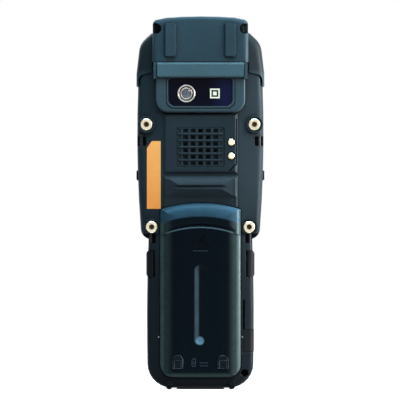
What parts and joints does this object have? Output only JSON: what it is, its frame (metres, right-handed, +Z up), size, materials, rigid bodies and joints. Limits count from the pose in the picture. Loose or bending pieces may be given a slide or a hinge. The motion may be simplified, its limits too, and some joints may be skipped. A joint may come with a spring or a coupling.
{
  "type": "portable barcode data terminal",
  "caption": "Rugged handheld data terminal with scanning nose, rear camera under a hood, woven speaker grille, latched battery cover, display and keypad.",
  "frame": {"origin": "middle of the standing face, under the middle of the body", "axes": "+Z up to the scanning end, +Y out of the front with display and keys, -Y out of the back with camera and battery cover, +X to the right as the back is seen"},
  "size_m": [0.0608, 0.032, 0.1768],
  "materials": {
    "shell": "satin, fine texture",
    "cap": "satin, fine texture",
    "cover": "satin, fine texture",
    "soft_black": "matt",
    "black_plastic": "matt",
    "keys": "satin",
    "scan_key": "satin",
    "window": "polished",
    "display": "polished",
    "lens": "coated",
    "lamp": "diffusing",
    "label": "printed film",
    "bright_metal": "turned",
    "steel": "plain",
    "gold": "plated",
    "pack": "satin",
    "board": "solder mask",
    "scan_red": "filter glass",
    "signal": "diffusing"
  },
  "bodies": {
    "terminal": {"rear_housing": "shell", "front_housing": "shell", "bottom_boot": "shell", "camera_bezel": "shell", "top_cap": "cap", "camera_hood": "cap", "speaker_grille": "shell", "camera_window": "window", "camera_ring": "bright_metal", "camera_lens": "lens", "camera_module": "black_plastic", "flash_lamp": "lamp", "speaker_driver": "black_plastic", "charging_contacts": "gold", "rating_label": "label", "case_screws": "steel", "strap_bars": "steel", "bay_seal": "soft_black", "battery_pack": "pack", "battery_contacts": "gold", "main_board": "board", "shield_cans": "steel", "display_module": "black_plastic", "display_glass": "display", "keypad_mat": "soft_black", "keypad_board": "board", "scan_engine": "black_plastic", "scan_window": "scan_red", "usb_port": "steel", "dock_contacts": "gold", "receiver_mesh": "steel", "status_lamp": "signal", "vibration_motor": "steel", "card_holder": "steel"},
    "cover": {"battery_cover": "cover"},
    "left_latch": {"latch_left": "cover"},
    "right_latch": {"latch_right": "cover"},
    "port_flap": {"port_cover": "soft_black"},
    "left_trigger": {"trigger_left": "keys"},
    "right_trigger": {"trigger_right": "keys"},
    "left_side_key": {"side_key_left": "keys"},
    "right_side_key": {"side_key_right": "keys"},
    "scan_button": {"scan_key": "scan_key"},
    "left_function": {"function_key_left": "keys"},
    "right_function": {"function_key_right": "keys"},
    "number_1_1": {"number_key_1_1": "keys"},
    "number_1_2": {"number_key_1_2": "keys"},
    "number_1_3": {"number_key_1_3": "keys"},
    "number_2_1": {"number_key_2_1": "keys"},
    "number_2_2": {"number_key_2_2": "keys"},
    "number_2_3": {"number_key_2_3": "keys"},
    "number_3_1": {"number_key_3_1": "keys"},
    "number_3_2": {"number_key_3_2": "keys"},
    "number_3_3": {"number_key_3_3": "keys"},
    "number_4_1": {"number_key_4_1": "keys"},
    "number_4_2": {"number_key_4_2": "keys"},
    "number_4_3": {"number_key_4_3": "keys"}
  },
  "joints": [
    {"name": "cover_hinge", "type": "hinge", "parent": "terminal", "child": "cover", "pos_m": [0, -0.0129, 0.0887], "axis": [-1, 0, 0], "range_deg": [0, 75]},
    {"name": "latch_left_slide", "type": "slide", "parent": "cover", "child": "left_latch", "axis": [0, 0, -1], "range_m": [0, 0.0018]},
    {"name": "latch_right_slide", "type": "slide", "parent": "cover", "child": "right_latch", "axis": [0, 0, -1], "range_m": [0, 0.0018]},
    {"name": "port_cover_hinge", "type": "hinge", "parent": "terminal", "child": "port_flap", "pos_m": [0.02455, 0.0005, 0.0231], "axis": [0, 0, 1], "range_deg": [0, 95]},
    {"name": "trigger_left_press", "type": "slide", "parent": "terminal", "child": "left_trigger", "axis": [1, 0, 0], "range_m": [0, 0.0005], "stiffness_N_per_m": 300, "springref_m": -0.001},
    {"name": "trigger_right_press", "type": "slide", "parent": "terminal", "child": "right_trigger", "axis": [-1, 0, 0], "range_m": [0, 0.0005], "stiffness_N_per_m": 300, "springref_m": -0.001},
    {"name": "side_key_left_press", "type": "slide", "parent": "terminal", "child": "left_side_key", "axis": [1, 0, 0], "range_m": [0, 0.0005], "stiffness_N_per_m": 300, "springref_m": -0.001},
    {"name": "side_key_right_press", "type": "slide", "parent": "terminal", "child": "right_side_key", "axis": [-1, 0, 0], "range_m": [0, 0.0005], "stiffness_N_per_m": 300, "springref_m": -0.001},
    {"name": "scan_key_press", "type": "slide", "parent": "terminal", "child": "scan_button", "axis": [0, -1, 0], "range_m": [0, 0.0005], "stiffness_N_per_m": 300, "springref_m": -0.001},
    {"name": "function_key_left_press", "type": "slide", "parent": "terminal", "child": "left_function", "axis": [0, -1, 0], "range_m": [0, 0.0005], "stiffness_N_per_m": 300, "springref_m": -0.001},
    {"name": "function_key_right_press", "type": "slide", "parent": "terminal", "child": "right_function", "axis": [0, -1, 0], "range_m": [0, 0.0005], "stiffness_N_per_m": 300, "springref_m": -0.001},
    {"name": "number_key_1_1_press", "type": "slide", "parent": "terminal", "child": "number_1_1", "axis": [0, -1, 0], "range_m": [0, 0.0005], "stiffness_N_per_m": 300, "springref_m": -0.001},
    {"name": "number_key_1_2_press", "type": "slide", "parent": "terminal", "child": "number_1_2", "axis": [0, -1, 0], "range_m": [0, 0.0005], "stiffness_N_per_m": 300, "springref_m": -0.001},
    {"name": "number_key_1_3_press", "type": "slide", "parent": "terminal", "child": "number_1_3", "axis": [0, -1, 0], "range_m": [0, 0.0005], "stiffness_N_per_m": 300, "springref_m": -0.001},
    {"name": "number_key_2_1_press", "type": "slide", "parent": "terminal", "child": "number_2_1", "axis": [0, -1, 0], "range_m": [0, 0.0005], "stiffness_N_per_m": 300, "springref_m": -0.001},
    {"name": "number_key_2_2_press", "type": "slide", "parent": "terminal", "child": "number_2_2", "axis": [0, -1, 0], "range_m": [0, 0.0005], "stiffness_N_per_m": 300, "springref_m": -0.001},
    {"name": "number_key_2_3_press", "type": "slide", "parent": "terminal", "child": "number_2_3", "axis": [0, -1, 0], "range_m": [0, 0.0005], "stiffness_N_per_m": 300, "springref_m": -0.001},
    {"name": "number_key_3_1_press", "type": "slide", "parent": "terminal", "child": "number_3_1", "axis": [0, -1, 0], "range_m": [0, 0.0005], "stiffness_N_per_m": 300, "springref_m": -0.001},
    {"name": "number_key_3_2_press", "type": "slide", "parent": "terminal", "child": "number_3_2", "axis": [0, -1, 0], "range_m": [0, 0.0005], "stiffness_N_per_m": 300, "springref_m": -0.001},
    {"name": "number_key_3_3_press", "type": "slide", "parent": "terminal", "child": "number_3_3", "axis": [0, -1, 0], "range_m": [0, 0.0005], "stiffness_N_per_m": 300, "springref_m": -0.001},
    {"name": "number_key_4_1_press", "type": "slide", "parent": "terminal", "child": "number_4_1", "axis": [0, -1, 0], "range_m": [0, 0.0005], "stiffness_N_per_m": 300, "springref_m": -0.001},
    {"name": "number_key_4_2_press", "type": "slide", "parent": "terminal", "child": "number_4_2", "axis": [0, -1, 0], "range_m": [0, 0.0005], "stiffness_N_per_m": 300, "springref_m": -0.001},
    {"name": "number_key_4_3_press", "type": "slide", "parent": "terminal", "child": "number_4_3", "axis": [0, -1, 0], "range_m": [0, 0.0005], "stiffness_N_per_m": 300, "springref_m": -0.001}
  ]
}
